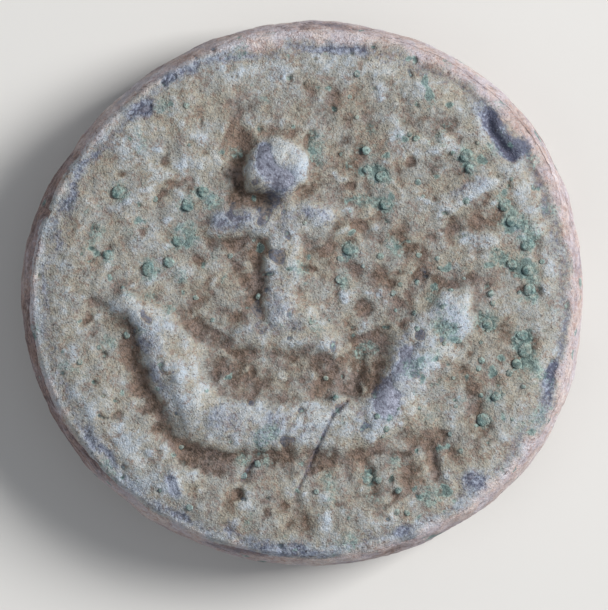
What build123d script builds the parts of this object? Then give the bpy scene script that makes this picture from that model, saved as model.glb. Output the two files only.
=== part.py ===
from build123d import *
from math import cos, radians, sin
import os

# A thick hand-struck metal token, lying on its back with the anchor side up.
# Millimetres, +Z up, origin on the surface that it rests on, under the middle of its outline.
# The metal is one piece, token_body. The other nodes are what the ground left on it: dried soil in
# the fields of both faces, a lime skin round the edge, and small green copper-salt nodules.

# ---- Driving dimensions: the disc ----------------------------------------------------------------
mean_radius = 9.0          # of the widest section, a little under halfway up the edge
body_height = 3.7          # resting face to the crest of the rim
edge_bulge = 0.66          # how far the faces' edges stand in from the widest section
widest_share = 0.46        # height of the widest section, as a share of body_height
bulge_power = 2.2          # how squarely the edge rounds over towards the faces
section_count = 7          # sections that the edge is drawn through
outline_points = 30        # spline points round the outline

# The outline is a circle pulled out of round by a few shallow lobes: (lobes, share, direction).
outline_lobes = [(2, 0.017, 12.0), (3, 0.010, 64.0), (5, 0.0045, -32.0)]

# ---- Driving dimensions: the two faces -----------------------------------------------------------
field_depth = 0.30         # the anchor side's field, below the rim's crest, at the middle
field_share = 0.90         # radius of the field's floor, as a share of the face's
rim_share = 0.985          # radius at which the rim's inner slope reaches the crest
strike_tilt = 0.7          # degrees: the anchor side was struck askew, its field higher at +X
back_depth = 0.16          # the back's shallow field
back_floor_share = 0.86
back_land_share = 0.90     # the back rests on the land outside this share of its radius
soil_depth = 0.10          # soil lying in the anchor side's field
back_soil_depth = 0.10

# ---- Driving dimensions: the skin round the edge -------------------------------------------------
lime_depth = 0.08
lime_low = 0.45            # height of its lower rim
lime_high = 3.15           # height of its upper rim

# ---- Driving dimensions: the relief --------------------------------------------------------------
root_depth = 0.14          # how far every raised figure is rooted below the field's floor
worn_share = 0.64          # radius of a figure's worn top edge, as a share of its whole height
worn_width_share = 0.80    # and at most this share of its half width

knob_place = (-0.98, 4.12)
knob_radius = 1.02
knob_height = 0.66
stock_height = 0.36
shank_height = 0.38
crown_height = 0.28
arm_height = 0.46
fluke_height = 0.48
mark_height = 0.24
ray_height = 0.24

# Raised figures with straight sides run between two points: (x, y, half width).
stock_ends = [(-2.75, 2.40, 0.52), (0.45, 2.44, 0.60)]
shank_ends = [(-0.86, 3.30, 0.58), (-0.80, -0.60, 0.62)]

# The arms follow a curve through these points: (x, y, half width).
arm_line = [
    (-6.30, -0.08, 0.42),
    (-5.15, -0.90, 0.68),
    (-4.42, -2.15, 0.85),
    (-3.95, -3.30, 0.85),
    (-2.75, -4.10, 0.84),
    (-0.90, -4.25, 0.82),
    (0.95, -4.22, 0.80),
    (2.40, -3.75, 0.77),
    (3.20, -2.60, 0.80),
    (3.80, -1.55, 0.80),
    (4.60, -0.75, 0.70),
]
arm_corner = 0.25          # the arms' ends are rounded by this much in plan
fluke_place = (4.73, -0.70)
fluke_size = (1.34, 1.63)
fluke_corner = 0.32

# The spreading foot of the shank.
crown_outline = [
    (-1.50, 0.20),
    (-0.15, 0.20),
    (0.62, -0.72),
    (1.24, -1.46),
    (1.04, -2.02),
    (0.10, -1.92),
    (-1.10, -1.94),
    (-2.30, -1.72),
    (-2.28, -1.05),
]
crown_corner = 0.12

# Worn marks to the right of the anchor.
mark_ends = [
    [(2.75, 5.25, 0.40), (2.75, 5.65, 0.36)],
    [(3.45, 4.68, 0.34), (4.35, 4.76, 0.42)],
    [(4.45, 2.82, 0.26), (5.80, 3.62, 0.31)],
    [(3.92, 0.75, 0.26), (3.98, 1.30, 0.24)],
]
boss_place = (5.42, 1.43)
boss_radius = 0.62

# Worn radial ridges between the arms and the rim.
ray_ends = [
    [(-4.45, -5.85, 0.30), (-4.30, -6.50, 0.28)],
    [(-1.95, -6.35, 0.26), (-2.15, -7.10, 0.28)],
    [(0.52, -6.50, 0.26), (0.66, -7.30, 0.26)],
    [(3.50, -6.30, 0.24), (3.66, -6.95, 0.24)],
]

# A gouge in the rim.
gouge_ends = [(5.85, 5.35, 0.24), (6.55, 4.50, 0.34)]
gouge_depth = 0.20

# ---- Driving dimensions: the green nodules -------------------------------------------------------
nodule_height_share = 0.62  # a nodule's height, as a share of its radius
nodules = [                 # (x, y, radius)
    (2.40, 3.80, 0.17),
    (1.90, 4.65, 0.15),
    (1.95, 4.00, 0.12),
    (2.55, 2.90, 0.16),
    (5.15, 4.45, 0.18),
    (5.25, 4.05, 0.12),
    (6.40, 2.90, 0.19),
    (6.62, 2.35, 0.16),
    (6.60, 0.95, 0.17),
    (7.10, 1.60, 0.18),
    (7.15, 0.80, 0.16),
    (7.20, 0.15, 0.17),
    (6.95, -1.30, 0.16),
    (7.05, -1.80, 0.20),
    (6.80, -2.25, 0.15),
    (5.85, -0.95, 0.17),
    (5.70, -4.05, 0.18),
    (6.10, -3.30, 0.14),
    (1.40, 1.43, 0.18),
    (1.08, 0.46, 0.16),
    (1.95, -5.95, 0.16),
    (-3.35, 3.30, 0.16),
    (-3.85, 2.90, 0.18),
    (-4.14, 1.76, 0.18),
    (-4.47, 1.04, 0.15),
    (-5.12, 0.78, 0.18),
    (-6.42, 1.27, 0.15),
    (-6.10, 3.29, 0.19),
]

# ---- Worked out from the driving dimensions ------------------------------------------------------
field_z = body_height - field_depth
soil_z = field_z + soil_depth
face_radius = mean_radius - edge_bulge
floor_radius = field_share * face_radius
pocket_reach = 2 * field_depth      # the pocket is cut on past the crest, as it leans
pocket_slope = (rim_share - field_share) * face_radius / field_depth
mouth_radius = floor_radius + pocket_slope * pocket_reach
past_edge = 1.1 * mean_radius       # a radius clear of the token's widest section
back_soil_z = back_depth - back_soil_depth


# ---- Helpers -------------------------------------------------------------------------------------
def outline_radius(angle, size):
    """Distance from the middle to an outline of mean radius size, at an angle in degrees."""
    lobes = sum(share * cos(count * radians(angle - aim)) for count, share, aim in outline_lobes)
    return size * (1 + lobes)


def outline_face(size, z):
    """A flat face at height z inside the out-of-round outline."""
    angles = [360 * i / outline_points for i in range(outline_points)]
    points = [
        (outline_radius(a, size) * cos(radians(a)), outline_radius(a, size) * sin(radians(a)))
        for a in angles
    ]
    return Pos(0, 0, z) * make_face(Wire(Spline(*points, periodic=True)))


def edge_radius(z):
    """Mean radius of the token at height z: the edge bulges out between the two faces."""
    widest_z = widest_share * body_height
    reach = widest_z if z < widest_z else body_height - widest_z
    return mean_radius - edge_bulge * abs((z - widest_z) / reach) ** bulge_power


def disc(inset=0.0):
    """The whole token's outer shape, or the same drawn in by inset all round its edge."""
    heights = [body_height * i / (section_count - 1) for i in range(section_count)]
    return loft([outline_face(edge_radius(z) - inset, z) for z in heights])


def slab(size, low, high):
    """A flat plate in the token's outline, between two heights."""
    return extrude(outline_face(size, low), amount=high - low)


def worn(face, height, half_width):
    """A figure that stands height above the field, with its top edge worn round."""
    whole = height + root_depth
    block = extrude(Pos(0, 0, field_z - root_depth) * face, amount=whole, dir=(0, 0, 1))
    rounding = min(worn_share * whole, worn_width_share * half_width)
    return fillet(block.edges().group_by(Axis.Z)[-1], rounding)


def bar_face(ends):
    """The outline round two discs."""
    discs = [Pos(x, y) * Circle(half_width) for x, y, half_width in ends]
    return make_hull(discs[0].edges() + discs[1].edges())


def bar(ends, height):
    return worn(bar_face(ends), height, min(half_width for x, y, half_width in ends))


def ribbon_face(line, corner):
    """The outline of a strip with smoothly curved sides."""
    left = []
    right = []
    for i, (x, y, half_width) in enumerate(line):
        before = line[max(i - 1, 0)]
        after = line[min(i + 1, len(line) - 1)]
        along = Vector(after[0] - before[0], after[1] - before[1]).normalized()
        aside = Vector(-along.Y, along.X) * half_width
        left.append(Vector(x, y) + aside)
        right.append(Vector(x, y) - aside)
    caps = [Line(left[0], right[0]), Line(left[-1], right[-1])]
    face = make_face([Spline(*left), Spline(*right)] + caps)
    return fillet(face.vertices(), corner)


def dome(x, y, radius):
    """The cap of a ball, standing on the soil over a round footprint of that radius."""
    height = nodule_height_share * radius
    ball_radius = (radius**2 + height**2) / (2 * height)
    ball = Pos(x, y, soil_z + height - ball_radius) * Sphere(ball_radius)
    footprint = Pos(x, y, soil_z + height / 2) * Cylinder(radius, height)
    return ball & footprint


# ---- The struck relief ---------------------------------------------------------------------------
def anchor():
    knob_face = Pos(*knob_place) * Circle(knob_radius)
    arm_face = ribbon_face(arm_line, arm_corner)
    fluke_face = Pos(*fluke_place) * RectangleRounded(*fluke_size, fluke_corner)
    crown_face = Polygon(*crown_outline, align=None)
    crown_face = fillet(crown_face.vertices(), crown_corner)
    return [
        worn(knob_face, knob_height, knob_radius),
        bar(stock_ends, stock_height),
        bar(shank_ends, shank_height),
        worn(crown_face, crown_height, fluke_size[0] / 2),
        worn(arm_face, arm_height, arm_line[0][2]),
        worn(fluke_face, fluke_height, fluke_size[0] / 2),
    ]


def marks():
    boss = worn(Pos(*boss_place) * Circle(boss_radius), mark_height, boss_radius)
    bars = [bar(ends, mark_height) for ends in mark_ends]
    rays = [bar(ends, ray_height) for ends in ray_ends]
    return [boss] + bars + rays


# ---- The pieces ----------------------------------------------------------------------------------
envelope = disc()
band = slab(past_edge, lime_low, lime_high)
edge_lime = (envelope & band) - disc(lime_depth)

pocket_mouth = outline_face(mouth_radius, field_z + pocket_reach)
pocket = loft([outline_face(floor_radius, field_z), pocket_mouth])
back_mouth = outline_face(back_land_share * face_radius, 0)
back_pocket = loft([back_mouth, outline_face(back_floor_share * face_radius, back_depth)])

# Everything that the anchor's die struck leans with it.
lean = Pos(0, 0, field_z) * Rot(0, -strike_tilt, 0) * Pos(0, 0, -field_z)
token_body = envelope - edge_lime - lean * pocket - back_pocket
for figure in anchor() + marks():
    token_body = token_body + lean * figure
gouge_base = body_height - gouge_depth
gouge = extrude(Pos(0, 0, gouge_base) * bar_face(gouge_ends), amount=body_height, dir=(0, 0, 1))
token_body = token_body - gouge

obverse_soil = lean * slab(rim_share * face_radius, field_z, soil_z) - token_body
reverse_soil = slab(face_radius, back_soil_z, back_depth) - token_body
verdigris_nodules = lean * Compound([dome(*nodule) for nodule in nodules])

# The origin goes under the middle of the outline's box.
middle = envelope.bounding_box().center()
to_origin = Pos(-middle.X, -middle.Y, 0)

pieces = {
    "token_body": token_body,
    "edge_lime": edge_lime,
    "obverse_soil": obverse_soil,
    "reverse_soil": reverse_soil,
    "verdigris_nodules": verdigris_nodules,
}

os.makedirs("parts", exist_ok=True)
for name, piece in pieces.items():
    export_step(to_origin * piece, f"parts/{name}.step")
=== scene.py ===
import math

import bmesh
import bpy
import numpy as np
from mathutils import Matrix, Vector
from mathutils.bvhtree import BVHTree


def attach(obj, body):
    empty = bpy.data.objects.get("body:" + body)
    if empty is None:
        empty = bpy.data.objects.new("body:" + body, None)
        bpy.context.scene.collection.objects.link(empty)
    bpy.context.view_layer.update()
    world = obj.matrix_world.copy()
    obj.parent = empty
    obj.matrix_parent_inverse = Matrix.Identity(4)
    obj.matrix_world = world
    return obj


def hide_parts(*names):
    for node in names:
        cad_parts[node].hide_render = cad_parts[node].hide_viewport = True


# An old struck token: corroded metal, with soil in its fields, a lime skin round its edge
# and green nodules on the anchor side. Lengths are in metres, and mm turns millimetres into them.

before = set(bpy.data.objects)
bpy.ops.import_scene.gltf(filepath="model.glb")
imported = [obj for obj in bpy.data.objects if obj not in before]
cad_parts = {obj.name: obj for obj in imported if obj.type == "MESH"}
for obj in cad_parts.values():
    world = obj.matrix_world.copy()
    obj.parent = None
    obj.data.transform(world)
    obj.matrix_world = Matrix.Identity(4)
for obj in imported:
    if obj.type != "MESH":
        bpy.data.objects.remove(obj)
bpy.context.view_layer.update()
mm = 0.001
strikeCentre = (0.127 * mm, -0.006 * mm)      # the struck pattern sits a little off the middle of the box


# Helpers: maps of the two faces and of the wall

faceMap = {"cells": 640, "half": 9.6 * mm, "reach": 9.4 * mm}
wallMap = {"turns": 1440, "rows": 120, "castStep": 4}
castStart = 20 * mm       # rays start this far from the token's middle
lastCell = 1.001          # keeps a reading's far neighbour on the map
smallest = 1e-6           # keeps a division off nought
leastWeight = 1e-4        # and a blur's weight
faceCell = 2 * faceMap["half"] / faceMap["cells"]
faceAxis = (np.arange(faceMap["cells"]) + 0.5) * faceCell - faceMap["half"]
mapX, mapY = np.meshgrid(faceAxis, faceAxis)
plainX = (mapX - strikeCentre[0]) / mm      # places on the face in millimetres, from the strike's middle
plainY = (mapY - strikeCentre[1]) / mm


def blur(values, acrossCells, alongCells=None):
    # Gaussian blur that wraps round at the borders
    alongCells = acrossCells if alongCells is None else alongCells
    down = np.exp(-2 * (math.pi * acrossCells * np.fft.fftfreq(values.shape[0])) ** 2)
    over = np.exp(-2 * (math.pi * alongCells * np.fft.fftfreq(values.shape[1])) ** 2)
    return np.fft.ifft2(np.fft.fft2(values) * down[:, None] * over[None, :]).real


def blurFace(values, size):
    return blur(values, size * mm / faceCell)


def lumps(dice, shape, size, cell=faceCell, stretch=1.0):
    # soft noise with lumps of about this size in millimetres, spread 1 about 0
    values = blur(dice.standard_normal(shape), size * mm / cell, stretch * size * mm / cell)
    return values / values.std()


def smoothStep(low, high, values):
    t = np.clip((values - low) / (high - low), 0, 1)
    return t * t * (3 - 2 * t)


def readMap(values, x, y):
    # the map's value at places in metres, between its cells
    col = np.clip((x + faceMap["half"]) / faceCell - 0.5, 0, faceMap["cells"] - lastCell)
    row = np.clip((y + faceMap["half"]) / faceCell - 0.5, 0, faceMap["cells"] - lastCell)
    c, r = col.astype(int), row.astype(int)
    u, v = col - c, row - r
    low = values[r, c] * (1 - u) + values[r, c + 1] * u
    high = values[r + 1, c] * (1 - u) + values[r + 1, c + 1] * u
    return low * (1 - v) + high * v


def readWall(values, turn, row):
    # the wall map's value: turn is 0 to 1 round the edge, row 0 to 1 from the bottom up
    col = (turn % 1.0) * wallMap["turns"]
    line = np.clip(row * (wallMap["rows"] - 1), 0, wallMap["rows"] - lastCell)
    c, r = col.astype(int) % wallMap["turns"], line.astype(int)
    d = (c + 1) % wallMap["turns"]
    u, v = col - np.floor(col), line - r
    low = values[r, c] * (1 - u) + values[r, d] * u
    high = values[r + 1, c] * (1 - u) + values[r + 1, d] * u
    return low * (1 - v) + high * v


def lineDistance(start, end):
    # distance in millimetres from every place on the face to a straight line
    run = (end[0] - start[0], end[1] - start[1])
    along = ((plainX - start[0]) * run[0] + (plainY - start[1]) * run[1]) / (run[0] ** 2 + run[1] ** 2)
    along = np.clip(along, 0, 1)
    return np.hypot(plainX - start[0] - along * run[0], plainY - start[1] - along * run[1])


def bump(x, y, radius):
    # 1 at a place, falling to 0 past its radius
    return np.exp(-((plainX - x) ** 2 + (plainY - y) ** 2) / (radius * radius))


def groove(points, width):
    # 1 along a bent line, falling to 0 past its width
    nearest = np.min([lineDistance(a, b) for a, b in zip(points, points[1:])], axis=0)
    return np.exp(-(nearest / width) ** 2)


# Reading the CAD shape

def surfaceTree(names):
    points, faces = [], []
    for name in names:
        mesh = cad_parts[name].data
        start = len(points)
        points += [v.co.copy() for v in mesh.vertices]
        faces += [[start + i for i in p.vertices] for p in mesh.polygons]
    return BVHTree.FromPolygons(points, faces)


def castFace(names, side):
    # height of the first surface met from above (side 1) or below (side -1), or nan beside the token
    tree = surfaceTree(names)
    start = side * castStart
    way = Vector((0, 0, -side))
    heights = np.full(mapX.shape, np.nan)
    for row, y in enumerate(faceAxis):
        for col, x in enumerate(faceAxis):
            if math.hypot(x, y) < faceMap["reach"]:
                hit = tree.ray_cast(Vector((x, y, start)), way)[0]
                if hit is not None:
                    heights[row, col] = hit.z
    return heights


def castWall(names, low, high):
    # distance of the wall from the axis, all round and from low to high
    tree = surfaceTree(names)
    radii = np.zeros((wallMap["rows"], wallMap["turns"]))
    for row in range(wallMap["rows"]):
        z = low + (high - low) * row / (wallMap["rows"] - 1)
        for turn in range(0, wallMap["turns"], wallMap["castStep"]):
            angle = math.tau * turn / wallMap["turns"]
            out = Vector((math.cos(angle), math.sin(angle), 0))
            hit = tree.ray_cast(out * castStart + Vector((0, 0, z)), -out)[0]
            radii[row, turn] = math.hypot(hit.x, hit.y)
    known = np.arange(0, wallMap["turns"] + 1, wallMap["castStep"])
    wanted = np.arange(wallMap["turns"])
    for row in radii:
        row[:] = np.interp(wanted, known, np.append(row[::wallMap["castStep"]], row[0]))
    return radii


def soften(heights, size):
    # blur that takes no notice of the places beside the token
    there = np.isfinite(heights)
    weight = blurFace(there.astype(float), size)
    filled = blurFace(np.where(there, heights, 0), size)
    return filled / np.maximum(weight, leastWeight)


shell = ["token_body", "edge_lime"]
wallLow, wallHigh = 0.15 * mm, 3.55 * mm     # heights that the wall map covers
tuckLow, tuckHigh = 0.38 * mm, 3.00 * mm     # heights at which the two face crusts tuck in under the wall's
bodyTop = castFace(shell, 1)
soilTop = castFace(shell + ["obverse_soil"], 1)
bodyBack = castFace(shell, -1)
soilBack = castFace(shell + ["reverse_soil"], -1)
wallRadius = castWall(shell, wallLow, wallHigh)
print("read the CAD shape")


def noduleIslands():
    # middle and radius of every nodule in the CAD node
    bm = bmesh.new()
    bm.from_mesh(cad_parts["verdigris_nodules"].data)
    bmesh.ops.remove_doubles(bm, verts=bm.verts, dist=0.001 * mm)      # the CAD mesh is loose triangles
    waiting = set(bm.verts)
    islands = []
    while waiting:
        island, edge = set(), [waiting.pop()]
        while edge:
            vert = edge.pop()
            island.add(vert)
            near = {e.other_vert(vert) for e in vert.link_edges} & waiting
            waiting -= near
            edge += near
        xs, ys = [v.co.x for v in island], [v.co.y for v in island]
        islands.append(((min(xs) + max(xs)) / 2, (min(ys) + max(ys)) / 2, (max(xs) - min(xs)) / 2))
    bm.free()
    return sorted(islands)


# The anchor side, sculpted on a map

# Places and sizes in millimetres from the strike's middle.
anchorSide = {
    "seed": 41,
    "way": 1,                    # it faces up
    "crisp": 0.1,               # how far wear has rounded the knob
    "worn": 0.3,                # and the rest of the struck relief
    "rimWorn": 0.75,             # and the rim's inner slope
    "leastCrisp": 0.3,
    "crispPlaces": [             # the knob, the crown and the stock: place, radius, share
        (-0.98, 4.12, 1.5, 1.0), (-0.6, -1.1, 1.7, 0.55), (-1.1, 2.4, 1.5, 0.45),
    ],
    "wander": 0.075,             # how far its outlines stray
    "rolls": [                   # lump size, height
        (1.6, 0.022), (0.62, 0.020), (0.27, 0.015), (0.125, 0.0145), (0.065, 0.0065),
    ],
    "furrows": [                 # bent lines, width, depth
        ([(-5.61, -1.83), (-5.28, -3.29), (-4.69, -4.37), (-3.75, -5.15)], 0.3, 0.13),
        ([(-2.15, 5.02), (-2.3, 3.88), (-2.12, 3.1), (-1.3, 3.02)], 0.26, 0.14),
        ([(-1.63, 1.37), (-1.63, -0.46)], 0.18, 0.12),
        ([(-1.8, -5.35), (-2.22, -6.5)], 0.16, 0.06),
        ([(1.47, -1.17), (1.79, -2.22), (1.6, -3.1)], 0.22, 0.12),
        ([(-6.9, -0.2), (-6.1, -0.85)], 0.22, 0.07),
        ([(4.05, -5.0), (4.2, -6.05)], 0.22, 0.1),
        ([(1.75, -5.3), (2.2, -6.35)], 0.16, 0.07),
        ([(3.05, -5.2), (3.1, -6.1)], 0.16, 0.09),
        ([(-0.3, -6.75), (-0.1, -7.6)], 0.2, 0.07),
        ([(2.95, -6.6), (3.05, -7.5)], 0.16, 0.06),
        ([(7.0, -0.95), (6.95, -2.2)], 0.26, 0.08),
        ([(7.4, 1.7), (7.45, 0.0)], 0.15, 0.07),
        ([(5.78, 5.72), (6.02, 5.12), (6.36, 4.64), (6.62, 4.38)], 0.17, 0.13),
    ],
    "ridges": [                  # worn crowns of the arms: bent lines, width, height
        ([(-5.7, -0.45), (-5.05, -1.0), (-4.35, -2.15), (-3.85, -3.25)], 0.44, 0.11),
        ([(-3.2, -3.8), (-2.6, -4.1), (-0.9, -4.25), (0.95, -4.22), (2.3, -3.8)], 0.42, 0.08),
        ([(2.8, -3.2), (3.3, -2.5), (3.9, -1.5), (4.6, -0.75)], 0.44, 0.09),
        ([(6.22, 5.5), (6.52, 5.08), (6.92, 4.74)], 0.2, 0.17),
    ],
    "cracks": [
        ([(1.29, -3.46), (0.86, -3.82), (0.37, -4.87), (-0.01, -5.74), (-0.38, -6.45)], 0.050, 0.1),
        ([(-1.7, -5.4), (-2.12, -6.0)], 0.08, 0.05),
    ],
    "hollows": [                 # place, radius, depth
        (5.48, -3.7, 0.36, 0.12), (5.7, -4.15, 0.22, 0.1), (4.12, -5.45, 0.26, 0.1),
        (4.01, -4.8, 0.24, 0.08), (5.31, -3.1, 0.3, 0.08), (5.85, -1.0, 0.34, 0.1),
        (7.25, -1.66, 0.22, 0.07), (7.43, 0.13, 0.16, 0.08), (7.5, 1.55, 0.2, 0.09),
        (1.56, -2.8, 0.3, 0.1), (1.89, -1.5, 0.24, 0.09), (-1.37, -2.75, 0.34, 0.09),
        (-3.1, -2.6, 0.34, 0.08), (-2.75, -1.66, 0.22, 0.08), (0.86, 1.6, 0.26, 0.09),
        (3.19, -5.57, 0.2, 0.06), (2.05, -5.74, 0.16, 0.07), (2.87, -6.5, 0.2, 0.08),
        (3.03, 1.6, 0.14, 0.07), (3.75, 0.55, 0.1, 0.09), (-2.25, -6.5, 0.18, 0.1),
        (-6.1, 0.13, 0.16, 0.05), (-6.42, 1.48, 0.13, 0.08), (4.1, 5.0, 0.3, 0.08),
        (1.2, -1.6, 0.1, 0.05), (-0.33, 4.4, 0.1, 0.1), (-5.95, 3.36, 0.1, 0.09),
        (-4.25, 1.7, 0.14, 0.05), (-0.3, 0.25, 0.14, 0.08), (5.52, 1.3, 0.17, 0.12),
        (2.2, -7.0, 0.15, 0.06),
    ],
    "mounds": [                  # place, radius, height
        (-4.4, -6.0, 0.36, 0.13), (-3.2, -7.0, 0.42, 0.07), (1.24, -0.13, 0.26, 0.07),
        (-3.0, 0.78, 0.46, 0.05), (-4.08, 0.62, 0.28, 0.06), (-5.93, 2.74, 0.36, 0.06),
        (6.45, -0.52, 0.42, 0.06), (5.31, -6.0, 0.42, 0.1), (-1.7, -1.55, 0.3, 0.05),
        (0.55, 2.5, 0.36, 0.08), (-0.45, -5.95, 0.42, 0.07), (5.9, -5.0, 0.34, 0.06),
        (6.9, 3.6, 0.34, 0.06), (-6.6, -2.3, 0.4, 0.05), (-0.42, 4.3, 0.5, 0.05),
        (3.6, 6.2, 0.4, 0.05), (-1.9, -1.05, 0.42, 0.08), (-0.2, -1.25, 0.55, 0.09),
        (0.7, -1.55, 0.32, 0.07), (2.0, 1.3, 0.3, 0.05), (-0.3, -0.55, 0.7, 0.06),
        (-2.1, 2.38, 0.44, 0.08), (-1.3, 2.38, 0.4, 0.05), (0.28, 2.42, 0.5, 0.11),
        (6.3, 1.7, 0.3, 0.05), (4.6, -2.2, 0.34, 0.06),
    ],
}

dice = np.random.default_rng(anchorSide["seed"])
faceShape = mapX.shape
fromMiddle = np.hypot(plainX, plainY)

# Near the rim the face calms down and follows the true edge: shares of the outline's radius.
rimZone = {"calm": (0.93, 0.99), "calming": 0.45, "worn": (0.80, 0.93), "true": (0.93, 0.97)}
topOutline = readWall(wallRadius, np.arctan2(mapY, mapX) / math.tau, np.ones(faceShape))
outlineShare = np.hypot(mapX, mapY) / topOutline
nearRim = smoothStep(*rimZone["calm"], outlineShare)
strayLumps = [(0.42, 1.0), (0.16, 0.5)]      # lump size, share


def faceLumps(size):
    return lumps(dice, faceShape, size)


def detail(side):
    # the rolls, lumps and grains of a corroded face, in metres
    total = sum(height * mm * faceLumps(size) for size, height in side["rolls"])
    return total * (1 - rimZone["calming"] * nearRim)


def strayShift(amount):
    total = sum(share * faceLumps(size) for size, share in strayLumps)
    return total * amount * mm * (1 - nearRim)


def stray(heights, amount):
    # the outlines of a face's relief stray a little, but its rim doesn't
    shiftX, shiftY = strayShift(amount), strayShift(amount)
    return [readMap(h, mapX + shiftX, mapY + shiftY) for h in heights]


def carve(side):
    # furrows, cracks, hollows and mounds, in metres
    change = np.zeros(faceShape)
    for points, width, depth in side["furrows"]:
        change -= depth * mm * groove(points, width)
    for points, width, height in side["ridges"]:
        change += height * mm * groove(points, width)
    for x, y, radius, depth in side["hollows"]:
        change -= depth * mm * bump(x, y, radius)
    for x, y, radius, height in side["mounds"]:
        change += height * mm * bump(x, y, radius)
    roughness = 0.75 + 0.25 * np.clip(faceLumps(0.22), -2, 2)
    change = change * roughness
    broken = np.clip(0.85 + 0.22 * faceLumps(0.16), 0.2, 1.3)
    for points, width, depth in side["cracks"]:
        change -= depth * mm * broken * groove(points, width)
    return change


def wear(heights, side):
    # the relief worn round, least of all where it's crisp, and the rim worn most
    crisp = soften(heights, side["crisp"])
    worn = soften(heights, side["worn"])
    keep = side["leastCrisp"] + sum(share * bump(x, y, size) for x, y, size, share in side["crispPlaces"])
    face = worn + (crisp - worn) * np.clip(keep, 0, 1)
    face = face + (soften(heights, side["rimWorn"]) - face) * smoothStep(*rimZone["worn"], outlineShare)
    outer = np.where(np.isfinite(heights), heights, face)
    inside = np.minimum(face * side["way"], outer * side["way"]) * side["way"]
    return face + (inside - face) * smoothStep(*rimZone["true"], outlineShare)


topCrust, topMetal = stray([wear(soilTop, anchorSide), wear(bodyTop, anchorSide)], anchorSide["wander"])
topCarving = carve(anchorSide)
topDetail = detail(anchorSide)
topCrust = topCrust + topCarving + topDetail
topMetal = np.minimum(topMetal + topCarving + blurFace(topDetail, 0.12), topCrust + 0.02 * mm)

# Where the crust has gone and slate-coloured metal shows, and where dark slate is painted as shade on the
# knob's left flank, the right arm's left flank and the rim's gouge: bent lines or spots, width, strength.
slateAndShadePatches = [
    ([(-1.38, 4.7), (-1.34, 4.2)], 0.2, 1.1),
    ([(-1.2, 3.95), (-0.65, 3.65)], 0.34, 0.42),
    ([(2.55, -3.5), (2.9, -2.7), (3.2, -1.6)], 0.48, 0.62),
    ([(2.7, -3.1), (3.0, -2.4)], 0.26, 0.35),
    ([(2.0, -4.0), (2.6, -3.6)], 0.42, 0.4),
    ([(5.82, 5.76), (6.1, 5.16), (6.45, 4.68), (6.95, 4.72)], 0.25, 1.0),
    ([(5.45, 6.05), (5.95, 5.5)], 0.22, 0.5),
    ([(4.75, 3.1), (5.55, 3.6)], 0.22, 0.6),
    ([(0.0, 2.45), (0.55, 2.45)], 0.46, 0.48),
    ([(-2.7, 2.36), (-0.9, 2.36)], 0.44, 0.4),
    ([(-1.6, -1.1), (0.3, -1.2)], 0.6, 0.26),
    ([(-5.1, 6.0), (-5.5, 5.75)], 0.26, 0.85),
    ([(-4.6, 6.9), (-4.1, 7.2)], 0.18, 0.6),
    ([(-4.42, -6.05), (-4.3, -6.4)], 0.24, 0.8),
    ([(-2.55, -7.62), (-2.4, -7.45)], 0.18, 1.0),
    ([(5.2, -5.95), (5.45, -6.15)], 0.28, 0.7),
    ([(3.05, -7.65), (3.3, -7.6)], 0.18, 0.8),
    ([(7.95, -2.35), (7.55, -3.35)], 0.18, 0.6),
    ([(-5.3, -1.6), (-4.7, -2.9)], 0.3, 0.5),
    ([(-3.0, -4.0), (0.9, -4.3)], 0.45, 0.16),
    ([(6.6, 2.3), (6.75, 2.1)], 0.16, 0.5),
    ([(2.7, 5.6), (2.75, 5.2)], 0.3, 0.25),
]
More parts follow.
